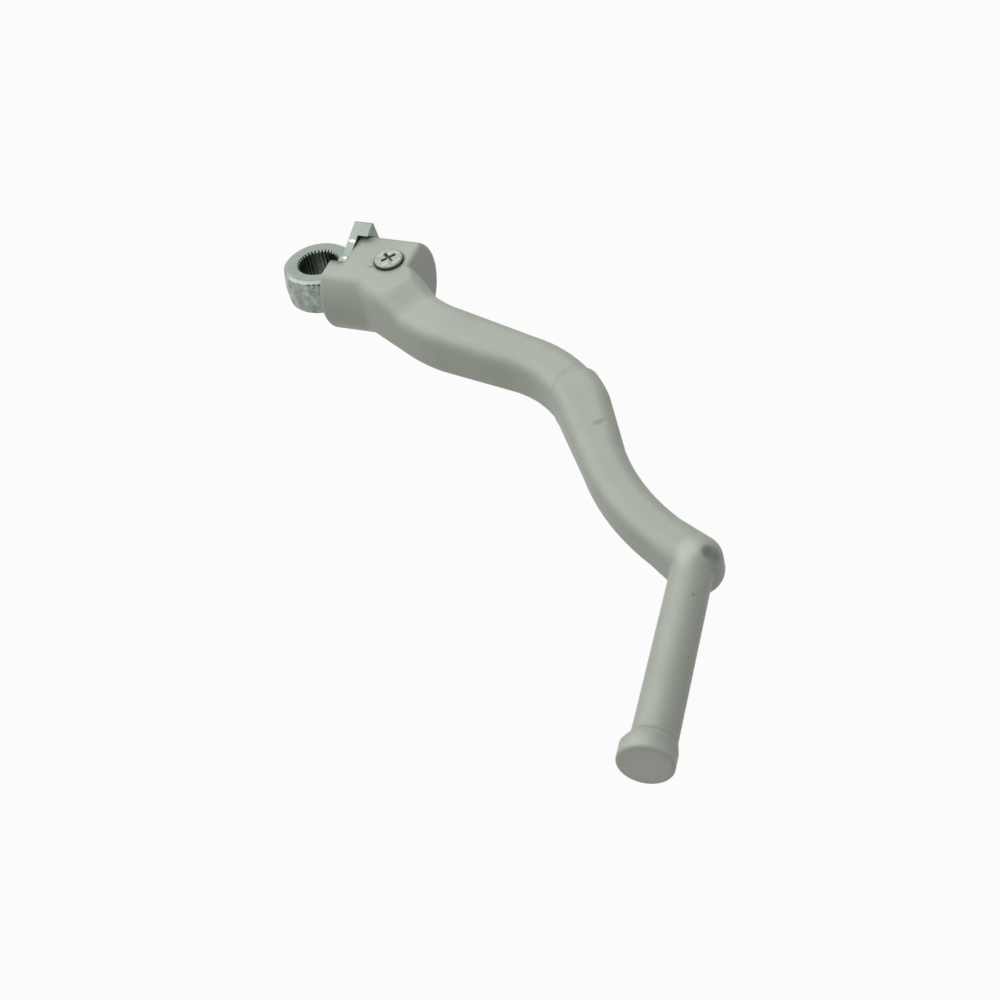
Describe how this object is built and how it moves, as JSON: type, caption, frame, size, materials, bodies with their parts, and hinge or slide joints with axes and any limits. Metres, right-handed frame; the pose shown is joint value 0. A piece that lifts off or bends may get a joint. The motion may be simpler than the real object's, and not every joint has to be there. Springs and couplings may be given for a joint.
{
  "type": "kick start lever",
  "caption": "Folding kick start lever: plated knuckle with a serrated bore and stop lug, silver-painted S-shaped cast arm, round foot pedal with a larger end, cross-recess retaining screw.",
  "frame": {"origin": "middle of the serrated bore, on its axis", "axes": "+Z along the serrated bore, +X along the stem that the arm turns about, the folded pedal points along -Y"},
  "size_m": [0.2461, 0.2303, 0.0459],
  "materials": {
    "zinc_plate": "bright zinc plate on forged steel",
    "silver_paint": "satin silver-grey paint on an aluminium casting",
    "screw_plate": "dull zinc plate",
    "bearing_steel": "polished",
    "spring_steel": "drawn wire"
  },
  "bodies": {
    "knuckle": {"knuckle": "zinc_plate"},
    "arm": {"lever_arm": "silver_paint", "retaining_screw": "screw_plate", "detent_ball": "bearing_steel", "detent_spring": "spring_steel"}
  },
  "joints": [
    {"name": "fold", "type": "hinge", "parent": "knuckle", "child": "arm", "pos_m": [0.028, 0, 0], "axis": [1, 0, 0], "range_deg": [-30, 85]}
  ]
}
